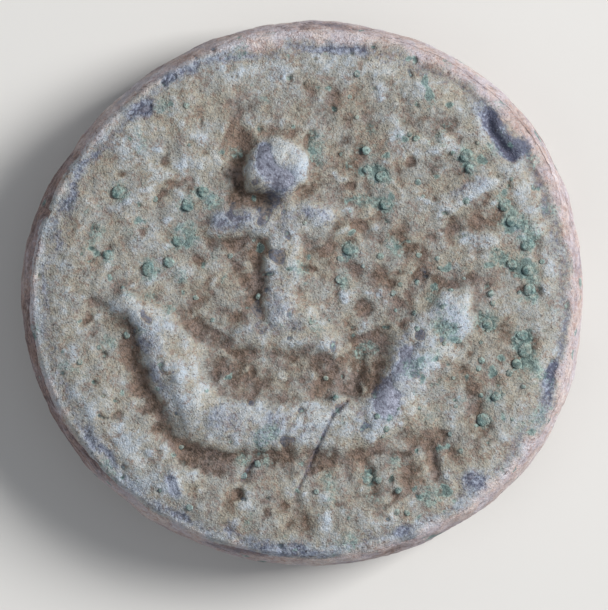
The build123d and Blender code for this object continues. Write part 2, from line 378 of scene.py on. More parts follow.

# Brown earth lies in some hollows, and some stretches are pale and dry, in the same terms; other pale
# stretches are painted highlights on the lit flanks of the knob and the right arm and on the rim's left
# inner slope.
earthPatches = [
    ([(-2.25, 5.3), (-2.35, 3.9), (-2.1, 3.1), (-1.2, 3.0)], 0.5, 1.0),
    ([(-2.6, 1.7), (-1.75, 1.5), (-1.7, -0.5)], 0.4, 0.7),
    ([(-3.7, -0.4), (-3.1, -2.2), (-2.3, -2.6)], 0.6, 0.75),
    ([(-1.5, -2.9), (0.4, -2.8)], 0.42, 0.4),
    ([(0.9, -2.5), (1.75, -2.9)], 0.5, 1.1),
    ([(-1.9, 1.3), (-2.4, -1.2)], 0.9, 0.3),
    ([(0.9, 1.0), (2.3, -0.6), (1.8, -2.2)], 0.9, 0.28),
    ([(1.75, -0.8), (1.85, -2.7)], 0.5, 0.9),
    ([(-1.2, -2.2), (1.4, -2.1)], 0.9, 0.34),
    ([(-3.2, -6.8), (2.2, -7.0)], 0.8, 0.28),
    ([(-7.6, 2.4), (-7.4, -3.2)], 0.7, 0.25),
    ([(0.9, 1.6), (2.0, 0.6), (3.2, 0.2)], 0.6, 0.55),
    ([(-5.8, -1.6), (-5.4, -3.2), (-4.75, -4.4), (-3.6, -5.2)], 0.42, 0.85),
    ([(-3.6, -5.4), (-1.5, -5.4), (0.5, -5.4), (2.6, -5.6), (4.2, -5.2)], 0.62, 0.75),
    ([(5.3, -2.9), (5.6, -4.2)], 0.6, 0.8),
    ([(3.4, -4.9), (4.3, -4.6)], 0.4, 0.6),
    ([(2.6, -6.6), (4.0, -6.0)], 0.5, 0.5),
    ([(0.6, 6.6), (1.6, 5.6), (1.3, 4.2)], 0.8, 0.45),
    ([(-2.6, 6.4), (-1.2, 6.0)], 0.7, 0.35),
    ([(5.8, -1.1), (6.4, -1.3)], 0.55, 0.6),
    ([(4.9, 0.3), (6.4, 0.6)], 0.4, 0.55),
    ([(7.2, -1.6), (7.0, -2.2)], 0.5, 0.55),
    ([(3.2, 1.8), (4.4, 0.1)], 0.55, 0.6),
    ([(4.6, 2.2), (6.0, 2.6)], 0.45, 0.55),
    ([(3.1, 4.05), (4.9, 4.05)], 0.35, 0.5),
    ([(3.6, 5.6), (4.6, 5.4)], 0.4, 0.45),
    ([(-0.6, -7.0), (0.0, -7.7)], 0.35, 0.4),
    ([(-2.2, -6.6), (-2.4, -6.9)], 0.3, 0.5),
    ([(-6.6, 0.0), (-5.9, 0.3)], 0.4, 0.3),
    ([(1.6, 3.2), (2.1, 2.2)], 0.6, 0.35),
]
paleAndHighlightPatches = [
    ([(-2.6, 6.9), (0.0, 7.3), (2.6, 7.2)], 0.8, 0.45),
    ([(-6.3, 2.8), (-6.0, 0.8)], 1.1, 0.25),
    ([(-8.0, 1.2), (-7.9, -1.0), (-7.3, -3.2)], 0.4, 0.55),
    ([(-6.7, -3.9), (-5.4, -5.6)], 0.7, 0.6),
    ([(3.7, -3.5), (3.95, -2.4), (4.9, -1.7)], 0.28, 0.9),
    ([(-3.5, -1.5), (-3.2, -2.9)], 0.26, 0.8),
    ([(-5.0, 4.8), (-3.6, 4.2)], 1.1, 0.45),
    ([(4.3, -0.4), (5.0, -1.0)], 0.75, 0.6),
    ([(0.4, -0.4), (0.9, -1.3)], 0.35, 0.5),
    ([(3.1, 4.5), (4.4, 4.5), (4.7, 4.8)], 0.2, 1.0),
    ([(4.3, 2.6), (5.2, 3.0), (6.1, 3.7)], 0.14, 1.0),
    ([(2.8, 5.8), (2.9, 5.1)], 0.4, 0.6),
    ([(0.05, 4.6), (0.05, 3.7)], 0.25, 0.35),
    ([(-4.3, -6.2), (-3.9, -5.9)], 0.35, 0.7),
    ([(-2.0, -6.7), (-2.15, -7.3)], 0.26, 0.9),
    ([(0.6, -6.7), (0.7, -7.4)], 0.24, 0.7),
    ([(1.0, -7.3), (2.6, -7.2)], 0.4, 0.4),
    ([(-3.1, 0.8), (-4.2, 0.5)], 0.35, 0.5),
    ([(6.4, -0.3), (6.6, -0.7)], 0.4, 0.5),
    ([(5.1, 1.8), (5.8, 1.9)], 0.3, 0.5),
    ([(-1.0, -5.9), (0.2, -6.1)], 0.5, 0.4),
]


def patchMap(patches, ragged):
    # soft patches with ragged borders, 0 to 1
    total = sum(strength * groove(points, width) for points, width, strength in patches)
    frayed = faceLumps(0.14) + 0.8 * faceLumps(0.40)
    return np.clip(total * (1 + ragged * frayed), 0, 1)


# The crest of the rim: outside it the face takes the wall's colours, and it's lowest at the top.
azimuth = np.degrees(np.arctan2(plainY, plainX)) % 360
crest = {"radius": 8.36, "atTop": (102, 36, -0.30), "atLeft": (196, 22, 0.18)}     # azimuth, spread, shift
crestShifts = [
    shift * np.exp(-((azimuth - middle) / spread) ** 2)
    for middle, spread, shift in (crest["atTop"], crest["atLeft"])
]
crestRadius = crest["radius"] + crestShifts[0] + crestShifts[1]
fromCrest = fromMiddle - crestRadius + 0.09 * faceLumps(0.30)
fromCrest = fromCrest + 0.05 * faceLumps(0.11)
crestLine = np.exp(-((fromCrest + 0.02) / 0.24) ** 2)
crestRub = smoothStep(-0.6, 1.8, faceLumps(0.8) + 0.5 * faceLumps(0.25))
crestBare = crestLine * (0.42 + 0.45 * crestRub)
shadeOnLeft = np.exp(-((azimuth - 185) / 48) ** 2)
# Painted shade: on the left, away from the light, the wall's pale colour starts further out.
skin = smoothStep(0.02, 0.34, fromCrest - 0.24 * shadeOnLeft)

# The struck figure is cooler and barer than the field.
relief = soften(soilTop, 0.20) - soften(soilTop, 1.5)
inField = 1 - smoothStep(-1.3, -0.6, fromMiddle - crestRadius)
figure = blurFace(smoothStep(0.04, 0.18, relief / mm) * inField, 0.12)
figureBare = figure * (0.22 + 0.12 * faceLumps(0.35))

slate = np.clip(patchMap(slateAndShadePatches, 0.35) + crestBare + figureBare, 0, 1)
earth = patchMap(earthPatches, 0.35)
pale = patchMap(paleAndHighlightPatches, 0.35)
pastCrest = 0.08 * mm * smoothStep(-0.75, 0.25, fromMiddle - crestRadius)
topCrust = topCrust - pastCrest
metalDrop = 0.08 * mm * smoothStep(-0.3, 0.0, fromMiddle - crestRadius)
topMetal = np.minimum(topMetal - pastCrest, topCrust - metalDrop)
topCrust = topCrust + (0.02 - 0.05 * smoothStep(0.55, 0.95, slate)) * mm
topCrust = topCrust - 0.03 * mm * smoothStep(0.3, 1.0, earth)

# Green salts: denser on the right, in spots that are partly bumps and partly pits.
rightward = smoothStep(-4, 6, plainX)
greenSpots = 0.8 * smoothStep(1.9, 2.9, faceLumps(0.10) + 0.30 * rightward)
greenHaze = 0.45 * smoothStep(0.7, 2.2, faceLumps(0.26) + 0.35 * plainX / 9)
greenHaze += 0.24 * bump(4.85, -0.75, 0.9) + 0.25 * bump(7.2, -2.6, 0.8) + 0.2 * bump(4.2, -3.4, 0.7)
spotPit = smoothStep(2.05, 2.9, faceLumps(0.09) + 0.20 * rightward)
topCrust = topCrust - 0.08 * mm * spotPit

# Crumbs and small dark pits over the whole field.
pits = smoothStep(1.2, 2.4, faceLumps(0.15)) * inField
crumbs = smoothStep(1.3, 2.4, faceLumps(0.12)) * inField
topCrust = topCrust + (0.035 * crumbs - 0.050 * pits) * mm

# Each nodule sits in a halo of green, with painted shade: a dark spot on its shaded side.
paintedShadeAndChips = np.zeros(faceShape)
ragged = 1 + 0.35 * faceLumps(0.12)
for x, y, radius in noduleIslands():
    x, y, radius = (x - strikeCentre[0]) / mm, (y - strikeCentre[1]) / mm, radius / mm
    greenHaze += 0.58 * bump(x, y, 2.1 * radius) * ragged
    paintedShadeAndChips += 0.75 * bump(x - 0.75 * radius, y - 0.55 * radius, 0.9 * radius) * ragged
gouge = groove([(5.82, 5.72), (6.06, 5.14), (6.40, 4.66), (6.66, 4.42)], 0.17)
# Painted shade along the gouge in the rim, whose inner slope faces away from the light, and a dark chip
# near the top left.
paintedShadeAndChips += ragged * (0.85 * gouge + 0.5 * bump(-5.30, 5.85, 0.26))
greenHaze *= 1 - gouge
topMetal = topMetal - 0.15 * mm * gouge
paintedShadeAndChips = np.clip(paintedShadeAndChips, 0, 1)
topCrust = topCrust - 0.05 * mm * paintedShadeAndChips
crackTone = sum(groove(points, 0.085) for points, width, depth in anchorSide["cracks"])
# The painted shade and the dark chips are coloured as dark slate.
slate = np.clip(slate + 0.8 * paintedShadeAndChips + 0.45 * crackTone, 0, 1)
print("sculpted the anchor side")

# Painted shade: the crest's colour is darkened where it faces the light.
paintedShadeOnLitCrest = smoothStep(-0.30, 0.20, fromCrest) * np.exp(-(((azimuth + 180) % 360 - 205) / 55) ** 2)

# Maps that the crust's colours follow. The relief map also carries painted highlights from the pale
# patches, and painted shade from the dark spots and from the crest that faces the light.
fine = topCrust - blurFace(topCrust, 0.22)
raisedAndHighlights = 0.12 * figure + 0.30 * pale + 0.20 * crumbs
sunkenAndShaded = 0.37 * earth + 0.30 * paintedShadeAndChips + 0.28 * pits + 0.42 * paintedShadeOnLitCrest
topMaps = {
    "relief": np.clip(0.5 + raisedAndHighlights - sunkenAndShaded, 0, 1),
    "cavity": np.clip(0.5 + fine / (0.10 * mm), 0, 1),
    "slate": slate,
    "green": np.clip(greenSpots + greenHaze + 0.5 * spotPit, 0, 1),
    "skin": skin,
}


# The back, sculpted on a map

plainBack = {
    "seed": 77,
    "way": -1,
    "crisp": 0.16, "worn": 0.16, "rimWorn": 0.30, "leastCrisp": 1.0, "crispPlaces": [],
    "wander": 0.10,
    "rolls": [(1.60, 0.020), (0.62, 0.020), (0.27, 0.014), (0.13, 0.009), (0.065, 0.005)],
    "lowestCrust": 0.01, "lowestMetal": 0.03,
}

dice = np.random.default_rng(plainBack["seed"])
backCrust, backMetal = stray([wear(soilBack, plainBack), wear(bodyBack, plainBack)], plainBack["wander"])
backDetail = detail(plainBack)
backRub = faceLumps(0.45) + 0.8 * smoothStep(6.6, 7.8, fromMiddle)
backSlate = 0.60 * smoothStep(0.5, 2.8, backRub)
backSlate = np.clip(backSlate * (1 + 0.4 * faceLumps(0.12)), 0, 1)
backPits = smoothStep(1.2, 2.4, faceLumps(0.16))
backCrumbs = smoothStep(1.2, 2.4, faceLumps(0.13))
backEarth = smoothStep(0.2, 1.8, faceLumps(0.8))
backRelief = 0.012 - 0.04 * backSlate + 0.03 * backCrumbs - 0.04 * backPits
backCrust = backCrust - backDetail - backRelief * mm
backMetal = np.maximum(backMetal - blurFace(backDetail, 0.12), backCrust + (0.08 * nearRim - 0.02) * mm)
backCrust = np.maximum(backCrust, plainBack["lowestCrust"] * mm)
backMetal = np.maximum(backMetal, plainBack["lowestMetal"] * mm)
fine = blurFace(backCrust, 0.22) - backCrust
backMaps = {
    "relief": np.clip(0.5 - 0.28 * backEarth - 0.26 * backPits + 0.20 * backCrumbs, 0, 1),
    "cavity": np.clip(0.5 + fine / (0.09 * mm), 0, 1),
    "slate": backSlate,
    "green": np.clip(smoothStep(1.6, 2.6, faceLumps(0.13)), 0, 1),
    "skin": smoothStep(8.1, 8.6, fromMiddle + 0.15 * faceLumps(0.30)),
}
print("sculpted the back")


# The wall, sculpted on a map

wallSkin = {
    "seed": 19,
    "rolls": [(1.30, 0.026), (0.50, 0.016), (0.22, 0.011), (0.11, 0.008), (0.06, 0.004)],
}

dice = np.random.default_rng(wallSkin["seed"])
wallShape = wallRadius.shape
wallCell = math.tau * 9 * mm / wallMap["turns"]
wallDetail = sum(h * mm * lumps(dice, wallShape, size, wallCell) for size, h in wallSkin["rolls"])
wallBare = 0.55 * smoothStep(0.6, 2.2, lumps(dice, wallShape, 0.35, wallCell, 1.4))
wallPits = smoothStep(2.0, 2.8, lumps(dice, wallShape, 0.09, wallCell))
wallTurn = np.arange(wallMap["turns"]) * 360 / wallMap["turns"]
# Painted shade on the wall's colour, darkest at the left, away from the key light.
wallShade = np.exp(-((wallTurn - 180) / 45) ** 2) * np.ones(wallShape)      # darkest at the left
wallCrust = wallRadius + wallDetail + (0.012 - 0.05 * wallBare - 0.06 * wallPits) * mm
wallMetal = np.minimum(wallRadius + 0.8 * wallDetail - 0.03 * mm, wallCrust + 0.02 * mm)
fine = wallCrust - blur(wallCrust, 0.22 * mm / wallCell)
wallMaps = {
    "relief": np.clip(0.5 - 0.55 * wallShade + 0.14 * lumps(dice, wallShape, 0.7, wallCell, 1.5), 0, 1),
    "cavity": np.clip(0.5 + fine / (0.08 * mm), 0, 1),
    "slate": wallBare,
    "green": 0.8 * smoothStep(1.8, 2.6, lumps(dice, wallShape, 0.14, wallCell)),
}
print("sculpted the wall")


# Meshes

def turnOf(x, y):
    return np.arctan2(y, x) / math.tau


def wallRow(z):
    return (z - wallLow) / (wallHigh - wallLow)


def discPlaces(u, v, rimHeight):
    # spreads a square grid over the token's face, out to the wall at a height
    big = np.maximum(np.abs(u), np.abs(v))
    short = np.minimum(np.abs(u), np.abs(v))
    angle = (math.pi / 4) * short / np.maximum(big, 1e-9)
    angle = np.where(np.abs(v) > np.abs(u), math.pi / 2 - angle, angle)
    across = big * np.cos(angle) * np.sign(u)
    up = big * np.sin(angle) * np.sign(v)
    reach = readWall(wallRadius, turnOf(across, up), wallRow(rimHeight) * np.ones_like(u))
    return across * reach, up * reach, big


def meshPlaces(mesh):
    places = np.zeros(len(mesh.vertices) * 3)
    mesh.vertices.foreach_get("co", places)
    return places.reshape(-1, 3)


def placeMesh(mesh, x, y, z):
    mesh.vertices.foreach_set("co", np.stack([x, y, z], axis=1).ravel())
    mesh.update()


def paint(mesh, name, values):
    mesh.attributes.new(name, "FLOAT", "POINT").data.foreach_set("value", values.astype(np.float32))


def newPiece(name, bm, material, slot, *replaced):
    # a smooth mesh that rides on the token and stands in for a CAD node
    mesh = bpy.data.meshes.new(name)
    bm.to_mesh(mesh)
    bm.free()
    piece = bpy.data.objects.new(name, mesh)
    bpy.context.scene.collection.objects.link(piece)
    mesh.materials.append(material)
    mesh.shade_smooth()
    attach(piece, "root")
    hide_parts(*replaced)
    return piece


def crustSheet(cells, skirts):
    # a fine grid with a skirt hanging from its border, closed underneath
    bm = bmesh.new()
    bmesh.ops.create_grid(bm, x_segments=cells, y_segments=cells, size=1.0)
    border = [e for e in bm.edges if e.is_boundary]
    for skirt in range(skirts):
        grown = bmesh.ops.extrude_edge_only(bm, edges=border)["geom"]
        border = [e for e in grown if isinstance(e, bmesh.types.BMEdge) and e.is_boundary]
        lowered = {v for e in border for v in e.verts}
        bmesh.ops.translate(bm, verts=list(lowered), vec=(0, 0, -1))
    bmesh.ops.holes_fill(bm, edges=border, sides=0)
    bmesh.ops.recalc_face_normals(bm, faces=bm.faces)
    return bm


# Shader helpers

def link(tree, source, target):
    tree.links.new(source, target)


def addNode(tree, kind, settings=None, inputs=None):
    # a node with its settings, and each input set to a value or joined to a socket
    made = tree.nodes.new(kind)
    for name, value in (settings or {}).items():
        setattr(made, name, value)
    for name, value in (inputs or {}).items():
        if isinstance(value, bpy.types.NodeSocket):
            link(tree, value, made.inputs[name])
        else:
            made.inputs[name].default_value = value
    return made


def maths(tree, operation, a, b):
    return addNode(tree, "ShaderNodeMath", {"operation": operation}, {0: a, 1: b}).outputs[0]


def weighted(tree, parts):
    # the sum of some values, each times its weight
    total = None
    for value, weight in parts:
        part = maths(tree, "MULTIPLY", value, weight)
        total = part if total is None else maths(tree, "ADD", total, part)
    return total


def about(tree, value, middle=0.5):
    # how far a value lies from its middle
    return maths(tree, "SUBTRACT", value, middle)


def remap(tree, value, low, high, toLow=0.0, toHigh=1.0):
    inputs = {"Value": value, "From Min": low, "From Max": high, "To Min": toLow, "To Max": toHigh}
    made = addNode(tree, "ShaderNodeMapRange", {"interpolation_type": "SMOOTHSTEP"}, inputs)
    return made.outputs["Result"]


def mixColour(tree, share, a, b, blend="MIX"):
    settings = {"data_type": "RGBA", "blend_type": blend, "clamp_result": False}
    made = addNode(tree, "ShaderNodeMix", settings)
    for index, value in ((0, share), (6, a), (7, b)):
        if isinstance(value, bpy.types.NodeSocket):
            link(tree, value, made.inputs[index])
        else:
            made.inputs[index].default_value = value
    return made.outputs[2]


def noise(tree, place, size, detailLevel=2.0, roughness=0.55, warp=0.0):
    # noise with features of about this size in millimetres
    inputs = {"Vector": place, "Scale": 1 / (size * mm), "Detail": detailLevel}
    inputs.update({"Roughness": roughness, "Distortion": warp})
    return addNode(tree, "ShaderNodeTexNoise", None, inputs).outputs["Fac"]


def pebbles(tree, place, size):
    # distance from the middle of the nearest pebble
    inputs = {"Vector": place, "Scale": 1 / (size * mm)}
    return addNode(tree, "ShaderNodeTexVoronoi", None, inputs).outputs["Distance"]


def attribute(tree, name):
    return addNode(tree, "ShaderNodeAttribute", {"attribute_name": name}).outputs["Fac"]


def paintColour(red, green, blue):
    # screen colour, 0 to 255, as the shader's linear colour
    def linear(value):
        share = value / 255
        return share / 12.92 if share <= 0.04045 else ((share + 0.055) / 1.055) ** 2.4
    return (linear(red), linear(green), linear(blue), 1.0)


def newGroup(name, inputs, outputs):
    tree = bpy.data.node_groups.new(name, "ShaderNodeTree")
    for socketName, kind, value in inputs:
        socket = tree.interface.new_socket(socketName, in_out="INPUT", socket_type=kind)
        if value is not None:
            socket.default_value = value
    for socketName, kind in outputs:
        tree.interface.new_socket(socketName, in_out="OUTPUT", socket_type=kind)
    return tree, tree.nodes.new("NodeGroupInput").outputs, tree.nodes.new("NodeGroupOutput").inputs


def useGroup(tree, group, inputs):
    return addNode(tree, "ShaderNodeGroup", {"node_tree": group}, inputs).outputs


# Effects that several materials share

def buildGrit():
    # sandy grains: light and dark specks, and the height that goes with them
    tree, given, wanted = newGroup(
        "grit",
        [("Place", "NodeSocketVector", None), ("Strength", "NodeSocketFloat", 1.0)],
        [("Shade", "NodeSocketFloat"), ("Height", "NodeSocketFloat"), ("Dark Specks", "NodeSocketFloat")],
    )
    place = given["Place"]
    fineGrain = noise(tree, place, 0.050, 3.0, 0.65)
    midGrain = noise(tree, place, 0.16, 2.0, 0.6, 0.4)
    pebbleTop = remap(tree, pebbles(tree, place, 0.075), 0.10, 0.75, 1.0, 0.0)
    height = weighted(tree, [(fineGrain, 0.9), (pebbleTop, 0.28), (midGrain, 0.9)])
    specks = remap(tree, noise(tree, place, 0.075, 1.0, 0.5, 0.6), 0.60, 0.72)
    shade = weighted(tree, [(about(tree, fineGrain), 1.0), (about(tree, midGrain), 1.0)])
    shade = maths(tree, "MULTIPLY", shade, given["Strength"])
    link(tree, maths(tree, "ADD", shade, 1.0), wanted["Shade"])
    link(tree, height, wanted["Height"])
    link(tree, specks, wanted["Dark Specks"])
    return tree


hues = [      # patch size, warm tint, cool tint
    (0.08, (1.03, 0.993, 0.965, 1), (0.97, 1.005, 1.04, 1)),
    (0.75, (1.04, 1.0, 0.95, 1), (0.975, 1.0, 1.05, 1)),
]


def buildWeather():
    # colour that follows the ground: one in the hollows, one on the flats, one on worn high ground
    tree, given, wanted = newGroup(
        "weather",
        [
            ("Place", "NodeSocketVector", None),
            ("Relief", "NodeSocketFloat", 0.5),
            ("Cavity", "NodeSocketFloat", 0.5),
            ("Hollow Colour", "NodeSocketColor", None),
            ("Flat Colour", "NodeSocketColor", None),
            ("High Colour", "NodeSocketColor", None),
            ("Stain Colour", "NodeSocketColor", None),
        ],
        [("Color", "NodeSocketColor")],
    )
    place = given["Place"]
    broad = noise(tree, place, 1.3, 3.0, 0.55, 0.5)
    middling = noise(tree, place, 0.42, 3.0, 0.6, 0.6)
    small = noise(tree, place, 0.15, 2.0, 0.6, 0.5)
    sway = [(given["Relief"], 1.0), (given["Cavity"], 0.60), (broad, 0.40), (middling, 0.55), (small, 0.65)]
    ground = weighted(tree, [(about(tree, value), weight) for value, weight in sway])
    hollowShare = remap(tree, ground, -0.50, 0.02)
    colour = mixColour(tree, hollowShare, given["Hollow Colour"], given["Flat Colour"])
    colour = mixColour(tree, remap(tree, ground, 0.0, 0.45), colour, given["High Colour"])
    broadStain = noise(tree, place, 0.62, 3.0, 0.65, 0.9)
    smallStain = noise(tree, place, 0.13, 2.0, 0.6, 0.4)
    stain = weighted(tree, [(broadStain, 0.55), (smallStain, 0.65), (ground, -0.12)])
    colour = mixColour(tree, remap(tree, stain, 0.58, 0.74, 0.0, 0.75), colour, given["Stain Colour"])
    for size, warm, cool in hues:
        hue = remap(tree, noise(tree, place, size, 1.0), 0.36, 0.64)
        colour = mixColour(tree, 1.0, colour, mixColour(tree, hue, cool, warm), "MULTIPLY")
    link(tree, colour, wanted["Color"])
    return tree


saltTints = {"dark": (80, 108, 108), "pale": (142, 168, 163)}


def buildGreen():
    # green salts where the mask says, in two tints with ragged borders
    tree, given, wanted = newGroup(
        "greenSalts",
        [
            ("Place", "NodeSocketVector", None),
            ("Base", "NodeSocketColor", None),
            ("Mask", "NodeSocketFloat", 0.0),
        ],
        [("Color", "NodeSocketColor")],
    )
    place = given["Place"]
    ragged = about(tree, noise(tree, place, 0.11, 2.0, 0.6))
    amount = remap(tree, weighted(tree, [(given["Mask"], 1.0), (ragged, 1.1)]), 0.16, 0.72)
    amount = maths(tree, "MULTIPLY", amount, remap(tree, given["Mask"], 0.0, 0.14))
    tint = remap(tree, noise(tree, place, 0.13, 1.0, 0.5), 0.42, 0.60)
    tint = maths(tree, "MULTIPLY", tint, remap(tree, given["Mask"], 1.0, 0.5))
    green = mixColour(tree, tint, paintColour(*saltTints["dark"]), paintColour(*saltTints["pale"]))
    cover = maths(tree, "MULTIPLY", amount, 0.75)
    link(tree, mixColour(tree, cover, given["Base"], green), wanted["Color"])
    return tree


grit = buildGrit()
weather = buildWeather()
greenSalts = buildGreen()


# Materials

def startMaterial(name):
    material = bpy.data.materials.new(name)
    material.use_nodes = True
    tree = material.node_tree
    tree.nodes.clear()
    place = tree.nodes.new("ShaderNodeTexCoord").outputs["Object"]
    shader = tree.nodes.new("ShaderNodeBsdfPrincipled")
    link(tree, shader.outputs["BSDF"], tree.nodes.new("ShaderNodeOutputMaterial").inputs["Surface"])
    return material, tree, place, shader


def addBump(tree, shader, height, strength, depth):
    inputs = {"Height": height, "Strength": strength, "Distance": depth * mm}
    bumped = addNode(tree, "ShaderNodeBump", None, inputs)
    link(tree, bumped.outputs["Normal"], shader.inputs["Normal"])


def weathered(tree, place, look):
    kinds = ("Hollow", "Flat", "High", "Stain")
    colours = {kind + " Colour": paintColour(*look[kind.lower()]) for kind in kinds}
    given = {"Place": place, "Relief": attribute(tree, "relief"), "Cavity": attribute(tree, "cavity")}
    return useGroup(tree, weather, {**given, **colours})["Color"]


def crustMaterial(name, look):
    material, tree, place, shader = startMaterial(name)
    grains = useGroup(tree, grit, {"Place": place, "Strength": look["gritShade"]})
    ground = weathered(tree, place, look)
    if "skin" in look:
        ground = mixColour(tree, attribute(tree, "skin"), ground, weathered(tree, place, look["skin"]))
    # The slate map marks bare metal, and on the anchor side also dark slate painted as shade.
    slateNoise = about(tree, noise(tree, place, 0.14, 3.0, 0.65))
    slateMask = weighted(tree, [(attribute(tree, "slate"), 1.0), (slateNoise, 1.3)])
    bareMetalAndShade = remap(tree, slateMask, 0.12, 0.95, 0.0, 0.88)
    bareMetalAndShade = maths(tree, "MULTIPLY", bareMetalAndShade, remap(tree, attribute(tree, "slate"), 0.0, 0.2))
    depth = about(tree, attribute(tree, "relief"))
    slateTint = weighted(tree, [(noise(tree, place, 0.12, 2.0, 0.6), 1.0), (depth, 0.7)])
    slateTint = remap(tree, slateTint, 0.35, 0.65)
    slateDark, slateLight = paintColour(*look["slateDark"]), paintColour(*look["slateLight"])
    colour = mixColour(tree, bareMetalAndShade, ground, mixColour(tree, slateTint, slateDark, slateLight))
    salts = useGroup(tree, greenSalts, {"Place": place, "Base": colour, "Mask": attribute(tree, "green")})
    specks = maths(tree, "MULTIPLY", grains["Dark Specks"], look["specks"])
    colour = mixColour(tree, specks, salts["Color"], paintColour(*look["speck"]))
    channels = {channel: grains["Shade"] for channel in range(3)}
    shade = addNode(tree, "ShaderNodeCombineColor", None, channels)
    colour = mixColour(tree, 1.0, colour, shade.outputs["Color"], "MULTIPLY")
    link(tree, colour, shader.inputs["Base Color"])
    roughness = remap(tree, bareMetalAndShade, 0.0, 1.0, look["roughness"], look["slateRoughness"])
    link(tree, roughness, shader.inputs["Roughness"])
    shader.inputs["Specular IOR Level"].default_value = look["gloss"]
    if look["metal"]:
        link(tree, maths(tree, "MULTIPLY", bareMetalAndShade, look["metal"]), shader.inputs["Metallic"])
    addBump(tree, shader, grains["Height"], look["bump"], look["bumpDepth"])
    return material


limeLook = {
    "hollow": (98, 84, 83), "flat": (170, 160, 162), "high": (190, 185, 187), "stain": (150, 131, 128),
    "slateDark": (94, 94, 108), "slateLight": (144, 148, 164), "speck": (98, 86, 84), "specks": 0.35,
    "gritShade": 0.55, "roughness": 0.95, "slateRoughness": 0.6, "gloss": 0.28, "metal": 0.0,
    "bump": 0.6, "bumpDepth": 0.045,
}
soilLook = dict(
    limeLook, hollow=(88, 77, 69), flat=(147, 146, 139), high=(167, 174, 179), stain=(128, 113, 105),
    slateDark=(70, 77, 100), slateLight=(142, 151, 170), speck=(60, 54, 52), specks=0.6,
    gritShade=0.52, metal=0.12, bump=0.85, skin=limeLook,
)
metalLook = dict(
    limeLook, hollow=(70, 71, 78), flat=(104, 108, 120), high=(136, 142, 154), stain=(118, 110, 104),
    speck=(48, 48, 56), roughness=0.62, slateRoughness=0.5, metal=0.3, bump=0.5,
)
greenLook = dict(
    limeLook, hollow=(70, 84, 86), flat=(106, 129, 128), high=(150, 171, 168), stain=(118, 122, 116),
    slateDark=(58, 74, 80), slateLight=(98, 120, 124), speck=(56, 64, 64), specks=0.5,
    gritShade=0.9, bump=0.9, skin=soilLook,
)
soilMaterial = crustMaterial("soilCrust", soilLook)
limeMaterial = crustMaterial("limeCrust", limeLook)
metalMaterial = crustMaterial("slateMetal", metalLook)
greenMaterial = crustMaterial("greenSalts", greenLook)
print("made the materials")


# The pieces

sheetFit = {"lip": 0.0008, "border": 0.95, "skirtInset": 0.04, "gap": 0.04, "skirtDrop": 0.15}


def wallSwell(turn, row):
    # how far out the wall's crust stands from the CAD wall
    return readWall(wallCrust, turn, row) - readWall(wallRadius, turn, row)


def layCrust(mesh, crust, maps, tuck, way):
    # a sheet laid over one face: its border meets the uneven wall and its skirt is hidden inside
    flat = meshPlaces(mesh)
    x, y, share = discPlaces(flat[:, 0], flat[:, 1], tuck)
    skirt = np.round(-flat[:, 2])
    swell = wallSwell(turnOf(x, y), wallRow(tuck * np.ones_like(x))) / np.maximum(np.hypot(x, y), smallest)
    border = smoothStep(sheetFit["border"], 1.0, share)
    pull = 1 + (sheetFit["lip"] + swell) * border - sheetFit["skirtInset"] * skirt
    hidden = tuck + way * (sheetFit["gap"] - sheetFit["skirtDrop"] * skirt) * mm
    placeMesh(mesh, x * pull, y * pull, np.where(skirt > 0, hidden, readMap(crust, x, y)))
    for name, values in maps.items():
        paint(mesh, name, readMap(values, x, y))


soilPiece = {"cells": 300, "skirts": 2}


def makeObverseSoil():
    # the face's crust: a sheet over the whole anchor side, tucked in at its border
    sheet = crustSheet(soilPiece["cells"], soilPiece["skirts"])
    piece = newPiece("obverseSoil", sheet, soilMaterial, "soil_crust", "obverse_soil")
    layCrust(piece.data, topCrust, topMaps, tuckHigh, anchorSide["way"])


backPiece = {"cells": 190, "skirts": 2}


def makeReverseSoil():
    # the same over the back, its faces turned to point down
    sheet = crustSheet(backPiece["cells"], backPiece["skirts"])
    piece = newPiece("reverseSoil", sheet, soilMaterial, "soil_crust", "reverse_soil")
    piece.data.flip_normals()
    layCrust(piece.data, backCrust, backMaps, tuckLow, plainBack["way"])


metalPiece = {"cells": 186, "wallCuts": 20, "border": 0.96, "endShare": 0.001}


